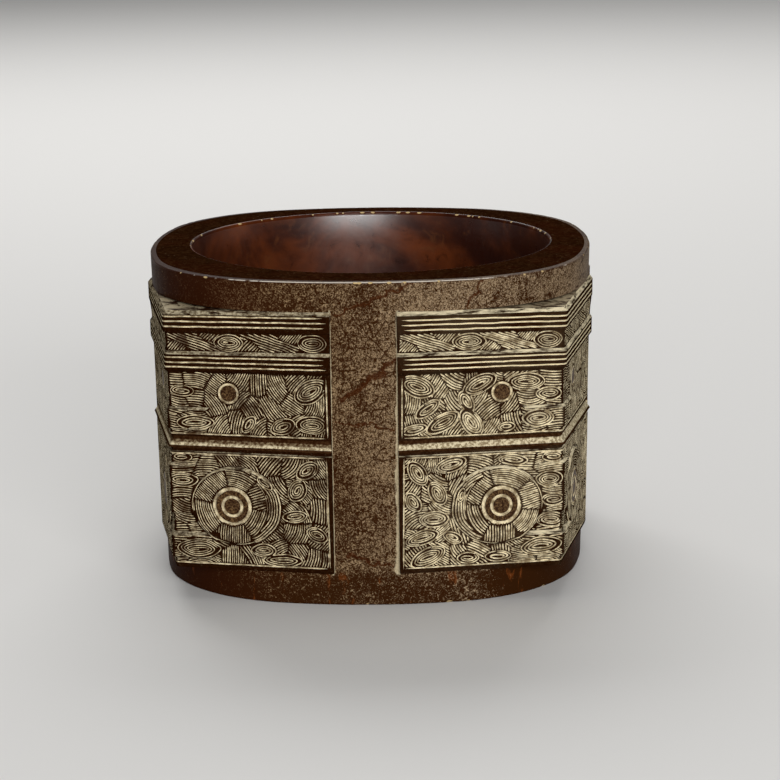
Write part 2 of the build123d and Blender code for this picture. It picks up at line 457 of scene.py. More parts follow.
def hatching(middle_p, middle_y, direction, bend, stretch, chance):
    """Lines side by side through a patch, straight or bent, a little uneven."""
    reach = 5.0
    lines_each_side = 12
    spacing = pitch * chance.uniform(0.88, 1.18)
    along = np.arange(-reach, reach, path_step)
    paths = []
    for place in range(-lines_each_side, lines_each_side + 1):
        shift = chance.uniform(-0.04, 0.04)
        skew = chance.uniform(-0.015, 0.015)
        across = place * spacing + shift + skew * along + bend * along**2 / 2
        paths.append(laid_from(middle_p, middle_y, direction, along, across))
    return paths


def sector_patch(sectors, number):
    """The patch of hatching that fills one sector round an eye."""
    start, radial = sectors[number]
    end = sectors[(number + 1) % len(sectors)][0]
    middle = start + (end - start) % 360 / 2
    distance = (large_rings[0][0] + hatch_reach) / 2
    p = large_eye[0] + distance * cos(radians(middle))
    y = large_eye[1] + distance * sin(radians(middle))
    return (p, y, middle, 0, 1) if radial else (p, y, middle + 90, 1 / hatch_reach, 1)


def lid_ring(share, start=-180, end=180):
    """A stretch of an oval parallel to the eyelid's outline, with a point at each degree."""
    return lid_oval(share, np.radians(np.arange(start, end, 1.0)))


def lid_lines():
    """Lines that follow the eyelid's outline."""
    first_share = 0.97
    step = pitch / lid_half[1]
    return [lid_ring(first_share - step * number) for number in range(9)]


# Scrolls on the two photographed faces: distance from the corner edge, height, half length,
# half height and tilt in degrees
left_upper_scrolls = [
    (4.7, 30.3, 3.2, 1.3, 0), (19.3, 30.0, 2.2, 1.3, 20), (24.1, 30.4, 2.7, 1.5, 0),
    (24.1, 36.0, 3.1, 1.8, 30), (2.5, 35.6, 2.2, 1.0, 0), (13.6, 30.2, 1.8, 1.0, 55),
]
left_lower_scrolls = [
    (1.9, 24.3, 2.0, 0.9, 0), (2.0, 20.6, 2.7, 1.3, 0), (4.4, 8.9, 3.7, 1.7, 0),
    (15.3, 9.0, 2.2, 1.2, 0), (18.5, 7.4, 3.4, 1.1, 0), (21.4, 19.4, 2.0, 1.5, 60),
    (24.4, 12.0, 1.9, 1.2, -20), (23.1, 22.8, 2.2, 1.3, 35), (20.8, 15.0, 2.2, 1.0, 8),
    (16.0, 20.5, 1.6, 0.7, -40),
]
right_upper_scrolls = [
    (24.3, 36.7, 3.1, 1.7, 20), (14.1, 36.7, 3.1, 1.5, -25), (6.4, 36.9, 3.1, 1.5, 0),
    (2.5, 34.7, 2.3, 1.2, 0), (16.2, 33.9, 2.0, 1.2, 60), (22.6, 32.9, 2.4, 1.1, -35),
    (20.0, 30.6, 3.0, 1.4, -30), (15.4, 30.4, 2.7, 1.6, 55), (24.6, 29.6, 2.2, 0.9, -10),
    (4.4, 30.7, 2.6, 1.5, 0), (9.6, 29.4, 1.5, 0.8, 0),
]
right_lower_scrolls = [
    (18.7, 23.5, 2.7, 1.3, -15), (8.4, 23.8, 2.5, 0.9, 5), (1.8, 24.0, 1.9, 0.9, 0),
    (24.2, 22.3, 2.4, 1.4, 55), (2.4, 20.4, 2.2, 1.4, 0), (20.9, 18.8, 2.2, 1.4, 60),
    (24.9, 17.5, 1.9, 1.2, 55), (1.8, 16.9, 2.0, 1.1, 0), (2.0, 13.4, 2.6, 1.3, 0),
    (21.4, 14.5, 2.5, 1.4, 0), (23.4, 11.4, 2.9, 1.3, -15), (22.4, 8.1, 3.1, 1.5, -25),
    (18.3, 11.2, 1.7, 1.0, 20), (3.7, 9.2, 3.4, 1.5, -5), (10.8, 7.6, 2.3, 0.9, 0),
    (15.8, 7.6, 1.9, 1.0, 0), (17.0, 18.4, 1.3, 0.6, -75),
]
left_band_scrolls = [(10.8, 43.95, 2.5, 1.5, 0), (24.7, 43.95, 2.5, 1.5, 0)]
right_band_scrolls = [(2.9, 43.95, 2.5, 1.5, 0), (15.8, 43.95, 2.8, 1.5, 0)]

# Hatching between the scrolls of the bands: distance from the corner edge, height, direction in
# degrees, bend, and how much longer than wide the patch is
left_band_patches = [
    (2.4, 42.9, 48, 0, 1), (4.8, 44.1, -20, 0, 2.5), (7.0, 45.3, 48, 0, 1),
    (14.4, 42.9, 48, 0, 1), (17.6, 44.1, -20, 0, 2.5), (20.6, 45.3, 48, 0, 1),
]
right_band_patches = [
    (6.8, 45.3, -48, 0, 1), (9.6, 44.1, 20, 0, 2.5), (12.2, 42.9, -48, 0, 1),
    (20.2, 45.3, -48, 0, 1), (23.0, 44.1, 20, 0, 2.5), (25.6, 42.9, -48, 0, 1),
]

# Sectors of hatching round a large eye: where each starts, in degrees, and whether it points at the eye
left_sectors = [(45, False), (100, True), (170, False), (235, True), (300, False), (355, True)]
right_sectors = [(5, True), (70, False), (140, True), (190, False), (240, True), (300, False)]

# Each face's half width of the fine lines, and its motifs
left_layout = (
    thin_half_width, left_band_scrolls, left_band_patches,
    left_upper_scrolls, left_lower_scrolls, left_sectors,
)
right_layout = (
    broad_half_width, right_band_scrolls, right_band_patches,
    right_upper_scrolls, right_lower_scrolls, right_sectors,
)


def patch_places(p_range, y_range, spacing, chance):
    """Patches of hatching over a field, in uneven rows. Near the corner edge their lines run level."""
    level_reach = 7
    patches = []
    columns = round((p_range[1] - p_range[0]) / spacing)
    rows = max(round((y_range[1] - y_range[0]) / spacing), 1)
    for row in range(rows):
        for column in range(columns):
            p = p_range[0] + (p_range[1] - p_range[0]) * (column + chance.uniform(0.2, 0.8)) / columns
            y = y_range[0] + (y_range[1] - y_range[0]) * (row + chance.uniform(0.2, 0.8)) / rows
            direction = chance.choice([-55, -35, 30, 50, 70, 90, 120])
            if p < level_reach:
                direction = chance.uniform(-8, 8)
            patches.append((p, y, direction, chance.uniform(-0.28, 0.28), chance.uniform(1, 1.5)))
    return patches


def straight_path(start, end, waver, chance):
    """A line drawn by hand between two places."""
    step = 1.5
    count = max(round((Vector(end) - Vector(start)).length / step), 3)
    path = np.linspace(start, end, count + 1)
    path[1:-1, 1] += [chance.uniform(-waver, waver) for place in range(count - 1)]
    return path


def add_creases(carving):
    """The edges of the face, its mouldings and its raised forms."""
    levels = []
    for y in moulding_heights:
        width = face_width(y)
        levels.append([(p, y) for p in (0, edge_wear_reach, width - edge_wear_reach, width)])
    for line in [*levels, *zip(*levels)]:
        carving.crease(line)
    for length, foot, top, ground, rise in bars:
        for inset in (0, rise):
            low, high, end = foot + inset, top - inset, length - inset
            carving.crease([(0, low), (end, low), (end, high), (0, high)])
    angles = np.linspace(0, 2 * pi, lid_sides, endpoint=False)
    for share in (1, 1 - lid_rise / lid_half[1]):
        carving.crease(lid_oval(share, angles), closed=True)


def add_long_lines(carving, band_drop, chance):
    """The bands' lines and the frame lines of the registers."""
    band_waver = 0.05
    frame_waver = 0.03
    frame_gap = 0.3  # between a register's level lines and the upright one
    upper_middle = (upper_band_foot + prism_top) / 2 - band_drop
    for middle in ((lower_band_foot + lower_band_top) / 2, upper_middle):
        for place in (-1, 0, 1):
            y = middle + place * band_pitch
            end = face_width(y) - chance.uniform(0.5, 1.1)
            path = straight_path((0, y), (end, y), band_waver, chance)
            carving.groove(path, band_half_width, band_depth, long_wall, from_edge=True)
    for foot, top, has_top_line in (
        (upper_register_foot, upper_register_top, False),
        (lower_register_foot, lower_register_top, True),
    ):
        low = foot + frame_margin + frame_half_width
        high = top - frame_margin - frame_half_width
        end = face_width(foot) - frame_inset
        side = straight_path((end, low), (end, high), 0, chance)
        carving.groove(side, frame_half_width, fine_depth, long_wall)
        for y in [low, high] if has_top_line else [low]:
            path = straight_path((0, y), (end - frame_gap, y), frame_waver, chance)
            carving.groove(path, frame_half_width, fine_depth, long_wall, from_edge=True)


def add_eyes(carving, chance):
    """The drilled eyes, the broken line round each eyelid and the arc where the hatching ends."""
    carving.ring(small_eye, *small_ring)
    for outer, inner in large_rings:
        carving.ring(large_eye, outer, inner)
    arc_step = 6
    for start, end in ((105, 190), (205, 262), (268, 315)):
        arc = lid_ring(rim_line, start, end)[::arc_step]
        carving.fine_groove(arc, thin_half_width * chance.uniform(0.8, 1.0))
    arc = oval(large_eye, (hatch_reach, hatch_reach), np.radians(np.arange(-8, 52, arc_step)))
    carving.fine_groove(arc, thin_half_width * 0.85)


def fields(band_scrolls, band_patches, upper_scrolls, lower_scrolls, sectors, chance):
    """The carved fields of a face: the scroll band and the two registers."""
    gap = 0.1
    overlap = 0.05
    overrun = 0.15  # the upper register's lines run out a little on the slope above it
    frame_depth = frame_margin + 2 * frame_half_width - overlap
    band_end = face_width(scroll_foot) - 3 * gap
    end = face_width(lower_register_foot) - frame_inset - frame_half_width + overlap
    band_range = (2 * gap, band_end), (scroll_foot + gap, upper_band_foot - worn_step - gap)
    upper_range = (2 * gap, end), (upper_register_foot + frame_depth, upper_register_top + overrun)
    lower_range = (2 * gap, end), (lower_register_foot + frame_depth, lower_register_top - frame_depth)
    upper_patches = patch_places(*upper_range, spacing=3.4, chance=chance)
    lower_patches = patch_places(*lower_range, spacing=3.6, chance=chance)
    small_plain = [(*small_eye, small_ring[0] + gap)]
    large_plain = [(*large_eye, large_rings[0][0] + gap)]
    return [
        Field(*band_range, band_scrolls, band_patches),
        Field(*upper_range, upper_scrolls, upper_patches, plain=small_plain),
        Field(*lower_range, lower_scrolls, lower_patches, sectors, large_plain),
    ]


def by_hand(path, seed):
    """A path shaken a little, as a hand-held tool leaves it."""
    places = [Vector((p * shake_rate, y * shake_rate, seed)) for p, y in path]
    return path + shake * np.array([noise.noise_vector(place)[:2] for place in places])


def carved_face(layout, band_drop, seed):
    """One face of a prism: its points in space, its triangles and the number of each one's material."""
    chance = random.Random(seed)
    carving = Carving()
    add_creases(carving)
    add_long_lines(carving, band_drop, chance)
    add_eyes(carving, chance)
    line_half_width, *motifs = layout
    thinning = 3
    for field in fields(*motifs, chance):
        for run in field.paths(chance):
            last = [] if (len(run) - 1) % thinning == 0 else [len(run) - 1]
            path = run[[*range(0, len(run), thinning), *last]]
            half_width = line_half_width * chance.uniform(0.75, 1.15)
            carving.fine_groove(by_hand(path, seed), half_width)
    places, drops, triangles, middles, filled = carving.triangulate()
    p, y = places.T
    in_small = np.linalg.norm(middles - small_eye, axis=1) < small_ring[0]
    in_large = np.linalg.norm(middles - large_eye, axis=1) < large_rings[0][0]
    level = middles[:, 1]
    on_band = (level > upper_band_foot) | ((level > upper_register_top) & (level < lower_band_top))
    kinds = np.where(in_small | in_large, on_eye, on_ridge)
    kinds = np.where(filled, np.where(on_band, in_band_line, in_line), kinds)
    return face_points(p, y, relief(p, y) - drops), triangles, kinds.tolist()


def linked(name, data):
    """A new object in the scene."""
    made = bpy.data.objects.new(name, data)
    bpy.context.scene.collection.objects.link(made)
    return made


def new_piece(name, points, faces):
    """A piece of the object, from points in millimetres."""
    mesh = bpy.data.meshes.new(name)
    mesh.from_pydata((np.asarray(points) * mm).tolist(), [], faces)
    piece = linked(name, mesh)
    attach(piece, "root")
    return piece


def give_materials(mesh, materials, numbers):
    for material in materials:
        mesh.materials.append(material)
    mesh.polygons.foreach_set("material_index", numbers)


def smooth(mesh, sharp_angle):
    """Smooth shading, except across sharp edges."""
    mesh.polygons.foreach_set("use_smooth", [True] * len(mesh.polygons))
    mesh.set_sharp_from_angle(angle=radians(sharp_angle))


def corner_prism(name, turn, front, side, materials):
    """A carved corner: one face, its twin mirrored in the diagonal plane, and the ledges behind them."""
    points, triangles, kinds = front
    twin_points, twin_triangles, twin_kinds = side
    first = len(points)
    faces = [tuple(face) for face in triangles]
    faces += [tuple(first + corner for corner in reversed(face)) for face in twin_triangles]
    points = np.concatenate([points, twin_points[:, [1, 0, 2]]])
    spin = np.array(Matrix.Rotation(turn * pi / 2, 3, "Z"))
    piece = new_piece(name, points @ spin.T, faces)
    give_materials(piece.data, materials, kinds + twin_kinds)
    close_behind(piece.data)
    smooth(piece.data, 28)
    return piece


def close_behind(mesh):
    """Joins the two faces at the corner edge and closes the prism behind its rim, inside the tube."""
    merge_gap = 0.002
    shape = bmesh.new()
    shape.from_mesh(mesh)
    open_vertices = [vertex for vertex in shape.verts if vertex.is_boundary]
    bmesh.ops.remove_doubles(shape, verts=open_vertices, dist=merge_gap * mm)
    rim = [edge for edge in shape.edges if edge.is_boundary]
    grown = bmesh.ops.extrude_edge_only(shape, edges=rim)["geom"]
    inner = [item for item in grown if isinstance(item, bmesh.types.BMVert)]
    walls = [item for item in grown if isinstance(item, bmesh.types.BMFace)]
    plan = section(tube_width(prism_foot))[0]
    bearings = np.arctan2(plan[:, 1], plan[:, 0])
    order = np.argsort(bearings)
    reaches = np.linalg.norm(plan, axis=1)[order] * ledge_share * mm
    middle = shape.verts.new(sum((vertex.co for vertex in inner), Vector()) / len(inner))
    for vertex in [*inner, middle]:
        bearing = np.arctan2(vertex.co.y, vertex.co.x)
        reach = np.interp(bearing, bearings[order], reaches, period=2 * pi)
        vertex.co.xy *= reach / vertex.co.xy.length
    for edge in [edge for edge in shape.edges if edge.is_boundary]:
        walls.append(shape.faces.new((*edge.verts, middle)))
    for wall in walls:
        wall.material_index = on_ledge
    bmesh.ops.recalc_face_normals(shape, faces=shape.faces)
    shape.to_mesh(mesh)
    shape.free()


# Columns of the tube's mesh on each side: corner to channel, channel, channel to corner, and round the corner
side_columns = (26, 54, 26)
corner_columns = 80
channel_edge = channel_half + 0.05  # the channel's own columns end just behind the prisms' flanks
channel_limit = channel_half + 0.06  # what lies within this counts as channel
beyond_channel = 9.0
sunk_share = 0.94  # the tube draws in behind the prisms
ledge_share = 0.96  # the prisms' ledges and walls end between the tube's skin and that


def arc(radius, angles):
    """Points of an arc in plan, at angles from the front."""
    return radius * np.stack([np.sin(angles), -np.cos(angles)], axis=1)


def section(width):
    """The tube's bowed square plan, as points anticlockwise from the front, and how far across its channel
    each one lies: -1 and 1 are the channel's edges."""
    side_centre = side_bow_radius - width / 2
    arc_gap = side_bow_radius - collar_corner_radius
    corner_centre = (sqrt(2 * arc_gap**2 - side_centre**2) - side_centre) / 2
    join = asin(corner_centre / arc_gap)
    edge = asin(channel_edge / side_bow_radius)
    stops = [-join, -edge, edge, join]
    spans = zip(stops, stops[1:], side_columns)
    angles = np.concatenate([np.linspace(*ends, count, endpoint=False) for *ends, count in spans])
    side = arc(side_bow_radius, angles) + (0, side_centre)
    turns = np.linspace(join, pi / 2 - join, corner_columns, endpoint=False)
    corner = arc(collar_corner_radius, turns) + (corner_centre, -corner_centre)
    quarter = np.concatenate([side, corner])
    across = np.concatenate([side[:, 0] / channel_limit, np.full(corner_columns, beyond_channel)])
    spins = [np.array(Matrix.Rotation(turn * pi / 2, 2)) for turn in range(4)]
    return np.concatenate([quarter @ spin.T for spin in spins]), np.tile(across, 4)


def outer_row(level, inset=0.0, sunk=False):
    """A ring of points round the outside of the tube."""
    plan, across = section(tube_width(level) - 2 * inset)
    if sunk:
        plan = np.where(np.abs(across[:, None]) <= 1, plan, plan * sunk_share)
    return np.column_stack([plan, np.full(len(plan), level)])


def bore_row(level, widening=0.0):
    """A ring of points round the bore, one for each point of the outside. Its mouths are worn wider."""
    spokes = section(collar_top_width)[0] - (0, bore_offset)
    spokes /= np.linalg.norm(spokes, axis=1)[:, None]
    from_end = min(level, height - level)
    flare = mouth_flare * max(1 - from_end / mouth_depth, 0) ** 2
    plan = spokes * (bore_radius + flare + widening) + (0, bore_offset)
    return np.column_stack([plan, np.full(len(plan), level)])


def rows_between(one, other, count):
    """Rings of points between two others."""
    return [one + (other - one) * share for share in np.linspace(0, 1, count + 2)[1:-1]]


def tube_rows():
    """The tube's rings of points, up the outside, over the rim, down the bore and back under the foot.
    With each ring goes the number of the material that starts there."""
    lap = 0.1  # the collars reach this far behind the prisms
    sink = 0.4  # and from here the tube is drawn in
    rounding = np.linspace(0, pi / 2, 6)
    rounded = list(zip(rim_round * (1 - np.cos(rounding)), rim_round * (1 - np.sin(rounding))))
    rim_low = height - rim_round - 2 * rim_step
    foot_levels = [rim_round + rim_step, *np.linspace(rim_round + 2 * rim_step, prism_foot + lap, 6)]
    sunk_levels = np.linspace(prism_foot + sink, prism_top - sink, 38)
    collar_levels = [*np.linspace(prism_top - lap, rim_low, 6), rim_low + rim_step]
    wall_levels = np.linspace(rim_low, height - rim_low, 40)
    bore_levels = [rim_low + rim_step, *wall_levels, height - rim_low - rim_step]
    rows = [(outer_row(rise, inset), on_skin) for rise, inset in rounded]
    rows += [(outer_row(level), on_skin) for level in foot_levels]
    rows += [(outer_row(level, sunk=True), on_skin) for level in sunk_levels]
    rows += [(outer_row(level), on_skin) for level in collar_levels]
    rows += [(outer_row(height - rise, inset), on_edge) for rise, inset in reversed(rounded)]
    rows += [(row, on_rim) for row in rows_between(rows[-1][0], bore_row(height, rim_round), 9)]
    rows += [(bore_row(height - rise, inset), in_mouth) for rise, inset in rounded]
    rows += [(bore_row(level), in_bore) for level in bore_levels]
    rows += [(bore_row(rise, inset), in_mouth) for rise, inset in reversed(rounded)]
    rows += [(row, on_rim) for row in rows_between(bore_row(0, rim_round), rows[0][0], 5)]
    return rows


def roughen(points, outside):
    """Makes the outside a little uneven."""
    depth = 0.05
    for index in np.flatnonzero(outside):
        point = points[index]
        uneven = depth * (noise.noise(Vector(point) * 0.22) + 0.5 * noise.noise(Vector(point) * 0.6) - 1)
        point[:2] *= 1 + uneven / np.linalg.norm(point[:2])


def chip_rims(points):
    """Breaks small chips out of the rims. Gives how far each point lies in a chip, from 0 to 1."""
    chance = random.Random(7)
    inset = 0.1
    wall_middle = (bore_radius + collar_top_width / 2) / 2
    top = height - inset
    # Points along each rim, and how many chips it has
    rims = [(outer_row(top, inset), 34), (bore_row(top, inset), 44), (outer_row(inset, inset), 14)]
    chips = np.zeros(len(points))
    for rim in [rim for rim, count in rims for number in range(count)]:
        middle = rim[chance.randrange(len(rim))]
        length = chance.uniform(0.2, 0.7)
        from_axis = np.linalg.norm(middle[:2])
        outward = np.array([*middle[:2] / from_axis, 0])
        along = (points - middle) @ np.array([-outward[1], outward[0], 0])
        beside = np.sqrt(np.maximum(((points - middle) ** 2).sum(axis=1) - along**2, 0))
        share = np.clip(1.2 - np.hypot(along / length, beside / chip_half_width), 0, 1)
        inward = outward * np.sign(wall_middle - from_axis)
        inward[2] = np.sign(height / 2 - middle[2])
        points += np.outer(share * chip_depth, inward / np.linalg.norm(inward))
        chips = np.maximum(chips, share)
    return chips


def channel_margins(levels, across):
    """Where earth lies along the channels: a thin line at one edge and a broader strip at the other."""
    thin_width = 0.45
    broad_width = np.interp(levels, [lower_register_foot, strip_foot, upper_register_top], [1.5, 1.2, 0.6])
    thin_line = np.clip(1 - (1 + across) * channel_half / thin_width, 0, 1)
    broad_line = np.clip(1 - (1 - across) * channel_half / broad_width, 0, 1)
    beside_prism = (np.abs(across) <= 1) & (levels > prism_foot) & (levels < prism_top)
    return np.maximum(thin_line, broad_line) * beside_prism


def tube(materials):
    """The tube with its collars, channels and polished bore, its rims worn and chipped."""
    rows = tube_rows()
    points = np.concatenate([row for row, number in rows])
    columns = len(rows[0][0])
    numbers = np.repeat([number for row, number in rows], columns)
    roughen(points, numbers <= on_edge)
    chips = chip_rims(points)
    places = np.arange(len(points)).reshape(len(rows), columns)
    above = np.roll(places, -1, axis=0)
    faces = np.stack([places, np.roll(places, -1, axis=1), np.roll(above, -1, axis=1), above], axis=2)
    piece = new_piece("stone_tube", points, faces.reshape(-1, 4).tolist())
    across = np.tile(section(collar_top_width)[1], len(rows))
    margins = channel_margins(points[:, 2], across) * (numbers == on_skin)
    for name, values in (("chip", chips), ("margin", margins)):
        layer = piece.data.attributes.new(name, "FLOAT", "POINT")
        layer.data.foreach_set("value", values.astype(np.float32))
    give_materials(piece.data, materials, numbers)
    smooth(piece.data, 50)
    return piece


class Shader:
    """A procedural material in the making. Its texture space is in millimetres."""

    def __init__(self, name):
        self.material = bpy.data.materials.new(name)
        self.material.use_nodes = True
        self.tree = self.material.node_tree
        self.surface = self.tree.nodes["Principled BSDF"]
        self.place = self.vector("SCALE", self.node("TexCoord", output="Object"), Scale=1 / mm)

    def put(self, socket, value):
        if isinstance(value, bpy.types.NodeSocket):
            self.tree.links.new(value, socket)
        else:
            socket.default_value = value

    def node(self, kind, inputs=None, output=0, **settings):
        made = self.tree.nodes.new("ShaderNode" + kind)
        for name, value in settings.items():
            setattr(made, name, value)
        for name, value in (inputs or {}).items():
            self.put(made.inputs[name], value)
        return made.outputs[output]

    def math(self, operation, *values):
        return self.node("Math", dict(enumerate(values)), operation=operation)

    def vector(self, operation, *values, output=0, **named):
        return self.node("VectorMath", {**dict(enumerate(values)), **named}, output, operation=operation)

    def times(self, value, *others):
        """A product."""
        for other in others:
            value = self.math("MULTIPLY", value, other)
        return value

    def add(self, value, share, base):
        """A share of a value, added to another."""
        return self.math("MULTIPLY_ADD", value, share, base)

    def noise(self, scale, detail=3.0, roughness=0.55, distortion=0.0, shift=(0, 0, 0), stretch=(1, 1, 1)):
        """Cloudy noise with about this many features in a millimetre."""
        place = self.vector("MULTIPLY_ADD", self.place, stretch, shift)
        inputs = {"Vector": place, "Scale": scale, "Detail": detail}
        return self.node("TexNoise", {**inputs, "Roughness": roughness, "Distortion": distortion})

    def ramp(self, value, low, high):
        """0 below one value and 1 above another, smooth between."""
        limits = {"Value": value, "From Min": low, "From Max": high}
        return self.node("MapRange", limits, interpolation_type="SMOOTHSTEP")

    def window(self, value, low, full, still_full, high):
        """1 in a range of values, with a smooth slope at each end."""
        return self.times(self.ramp(value, low, full), self.ramp(value, high, still_full))

    def mix(self, share, one, other):
        """A colour between two others."""
        pair = [value if isinstance(value, bpy.types.NodeSocket) else (*value, 1) for value in (one, other)]
        return self.node("Mix", {0: share, 6: pair[0], 7: pair[1]}, output=2, data_type="RGBA")

    def attribute(self, name):
        return self.node("Attribute", output="Fac", attribute_name=name)

    def axis(self, name):
        """One coordinate of the place."""
        return self.node("SeparateXYZ", {0: self.place}, output=name)

    def rise(self):
        """How much the surface faces up."""
        return self.node("SeparateXYZ", {0: self.node("NewGeometry", output="Normal")}, output="Z")

    def vein(self, start, end, half_width):
        """1 on a ragged crack across the front, from one place to another, given as (x, z)."""
        start = Vector((start[0], 0, start[1]))
        run = Vector((end[0], 0, end[1])) - start
        inputs = {"Vector": self.place, "Scale": 0.45, "Detail": 5.0, "Roughness": 0.6}
        wander = self.vector("MULTIPLY_ADD", self.node("TexNoise", inputs, "Color"), (4, 4, 4), (-2, -2, -2))
        offset = self.vector("SUBTRACT", self.vector("ADD", self.place, wander), start)
        offset = self.vector("MULTIPLY", offset, (1, 0, 1))
        reach = self.vector("DOT_PRODUCT", offset, run / run.length_squared, output="Value")
        nearest = self.vector("SCALE", run, Scale=self.node("Clamp", {0: reach}))
        gap = self.vector("DISTANCE", offset, nearest, output="Value")
        front = self.ramp(self.axis("Y"), -10, -20)
        return self.times(self.ramp(gap, half_width, half_width * 0.4), front)

    def finish(self, colour, roughness, gloss, relief=None, depth=0.02):
        """The material, with fine relief, this many millimetres deep, from a value."""
        if relief is not None:
            heights = {"Height": relief, "Distance": depth * mm, "Strength": 1.0}
            self.put(self.surface.inputs["Normal"], self.node("Bump", heights))
        self.put(self.surface.inputs["Base Color"], colour)
        self.put(self.surface.inputs["Roughness"], roughness)
        self.put(self.surface.inputs["Specular IOR Level"], gloss)
        return self.material


# Colours, as linear light
deep_red = (0.024, 0.004, 0.001)
warm_red = (0.14, 0.03, 0.005)
orange_red = (0.12, 0.035, 0.006)
vein_red = (0.06, 0.0165, 0.0035)
dark_red = (0.03, 0.0075, 0.002)
red_brown = (0.03, 0.0095, 0.0022)
drip_orange = (0.2, 0.052, 0.01)
black_brown = (0.013, 0.0035, 0.0007)
dark_brown = (0.021, 0.0065, 0.0016)
mid_brown = (0.055, 0.024, 0.009)
dull_brown = (0.085, 0.042, 0.02)
pale_tan = (0.18, 0.104, 0.043)
grey_tan = (0.22, 0.152, 0.087)
tan_shade = (0.085, 0.045, 0.018)
bright_tan = (0.29, 0.182, 0.083)
bright_grey = (0.34, 0.25, 0.155)
buff = (0.8, 0.69, 0.46)
dull_buff = (0.3, 0.23, 0.13)
chip_gold = (0.5, 0.36, 0.17)
# Pale grey of the worn top edge, also used as a painted highlight along the front
worn_highlight_grey = (0.75, 0.68, 0.58)

# Cracks seen on the front: where each starts and ends, across and up, and its half width
veins = [
    ((-4.0, 49.1), (7.9, 53.7), 0.4), ((-3.9, 34.4), (5.0, 40.9), 0.7), ((16.6, 49.8), (20.3, 54.6), 0.4),
    ((-4.8, 31.1), (5.7, 29.6), 0.25), ((-3.5, 8.5), (4.6, 6.4), 0.35),
]


def weathered(shader):
    """The stone's outside: a flaking tan skin over red-brown jade, crossed by a network of fine cracks, with
    fewer flakes near the foot as painted shade under the prisms.
    """
    side = shader.axis("X")
    right = shader.ramp(side, -36, 26)
    right_end = shader.ramp(side, 14, 24)
    left = shader.window(side, -39, -31, -28, -8)
    level = shader.axis("Z")
    foot = shader.ramp(level, 6.5, 4.5)
    upper = shader.window(level, 27, 36, 46, 50)
    grain = shader.noise(2.4, 5, 0.62, 1.5)
    cover = shader.add(shader.noise(0.09, 3, 0.6, 0.3, shift=(20, 0, 0)), 0.3, grain)
    cover = shader.add(upper, 0.03, shader.add(right, 0.08, cover))
    # Fewer flakes near the foot, most of all at its right end: painted shade where the prisms overhang the
    # bottom collar, as well as bare skin. On the left the skin is simply bare.
    bare_and_shaded = shader.times(foot, shader.add(right_end, 0.12, 0.09))
    bare_and_shaded = shader.math("MAXIMUM", bare_and_shaded, shader.times(left, 0.08))
    flakes = shader.ramp(shader.math("SUBTRACT", cover, bare_and_shaded), 0.64, 0.75)
    below = shader.mix(left, red_brown, dark_red)
    speckle = shader.ramp(shader.noise(4.5, 3, 0.7, shift=(7, 0, 0)), 0.38, 0.62)
    flake = shader.mix(speckle, tan_shade, shader.mix(right, bright_tan, bright_grey))
    skin = shader.mix(flakes, below, shader.mix(left, flake, dull_brown))
    return shader.mix(cracks(shader, upper), skin, below), grain


def cracks(shader, upper):
    """A network of fine cracks, broken off in places, less so on the upper half."""
    warp = shader.noise(0.6, 3, 0.6, shift=(3, 5, 7))
    place = shader.vector("ADD", shader.vector("SCALE", shader.place, Scale=0.5), warp)
    inputs = {"Vector": place, "Scale": 1.0, "Randomness": 1.0}
    network = shader.ramp(shader.node("TexVoronoi", inputs, feature="DISTANCE_TO_EDGE"), 0.07, 0.015)
    kept = shader.ramp(shader.add(upper, 0.1, shader.noise(0.3, 3, 0.6, shift=(9, 1, 4))), 0.46, 0.6)
    return shader.times(network, kept)


def chipped(shader, colour, grain):
    """A colour with its chips, pale where the fresh stone shows."""
    flecks = shader.add(grain, 0.6, shader.attribute("chip"))
    return shader.mix(shader.ramp(flecks, 0.75, 0.95), colour, chip_gold)


def jade_skin():
    """The tube's outside: veined, earthy along the channels and streaked with orange near the foot."""
    shader = Shader("jade_skin")
    colour, grain = weathered(shader)
    foot = shader.ramp(shader.axis("Z"), 6.5, 4.0)
    streaks = shader.noise(0.55, 5, 0.65, 0.6, shift=(0, 70, 0), stretch=(1, 1, 0.3))
    streaks = shader.times(foot, shader.ramp(streaks, 0.59, 0.67), shader.ramp(grain, 0.3, 0.55), 0.55)
    colour = shader.mix(streaks, colour, drip_orange)
    bare_vein = shader.mix(shader.ramp(grain, 0.4, 0.6), dark_red, vein_red)
    for vein in veins:
        colour = shader.mix(shader.times(shader.vein(*vein), 0.9), colour, bare_vein)
    crumbs = shader.noise(0.8, 5, 0.7, shift=(0, 0, 8), stretch=(1, 1, 0.4))
    earth = shader.ramp(shader.add(crumbs, 1.3, shader.attribute("margin")), 1.1, 1.3)
    colour = shader.mix(shader.times(earth, 0.7), colour, shader.mix(grain, dull_buff, buff))
    return shader.finish(chipped(shader, colour, grain), 0.45, 0.01, grain, depth=0.035)


def edge_jade():
    """The tube's top edge: a worn pale line along its corner, which along the front is also a painted
    highlight.
    """
    shader = Shader("edge_jade")
    colour, grain = weathered(shader)
    colour = shader.mix(0.5, colour, dark_red)
    # A pale line along the top corner: wear, and a painted highlight, strongest along the front
    front = shader.ramp(shader.axis("Y"), -31, -36)
    worn_and_highlight = shader.add(front, 0.25, shader.noise(0.5, 5, 0.7, shift=(0, 0, 44)))
    corner = shader.window(shader.axis("Z"), height - 0.2, height - 0.12, height - 0.07, height - 0.02)
    worn_and_highlight = shader.times(shader.ramp(worn_and_highlight, 0.58, 0.7), corner, 0.8)
    colour = shader.mix(worn_and_highlight, colour, worn_highlight_grey)
    return shader.finish(chipped(shader, colour, grain), 0.35, 0.03, grain)


